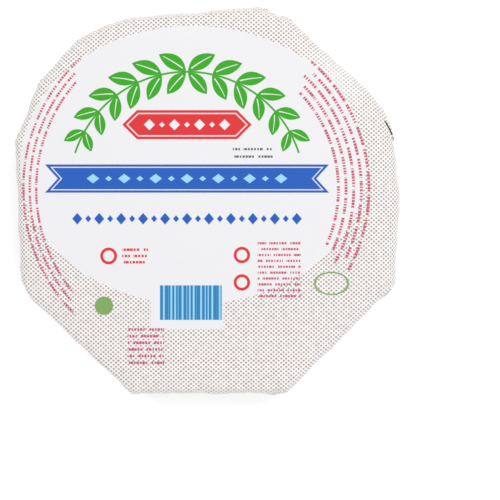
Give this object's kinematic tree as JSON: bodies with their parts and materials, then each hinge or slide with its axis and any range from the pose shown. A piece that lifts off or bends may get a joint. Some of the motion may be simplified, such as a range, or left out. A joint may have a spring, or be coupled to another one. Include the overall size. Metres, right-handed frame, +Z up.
{
  "type": "wrapped brie wheel",
  "caption": "Whole brie wheel shut in a folded white printed paper wrapper, with flat sides, rounded shoulders and pleats at the corners; lies flat on its underside.",
  "frame": {"origin": "middle of the flat underside, centred on the wrapper's outline", "axes": "+Z up through the printed top face, +Y towards the top of the print, +X to its right"},
  "size_m": [0.1998, 0.2016, 0.032],
  "materials": {
    "paper": "satin"
  },
  "bodies": {
    "root": {"wrapped_wheel": "paper"}
  },
  "joints": []
}
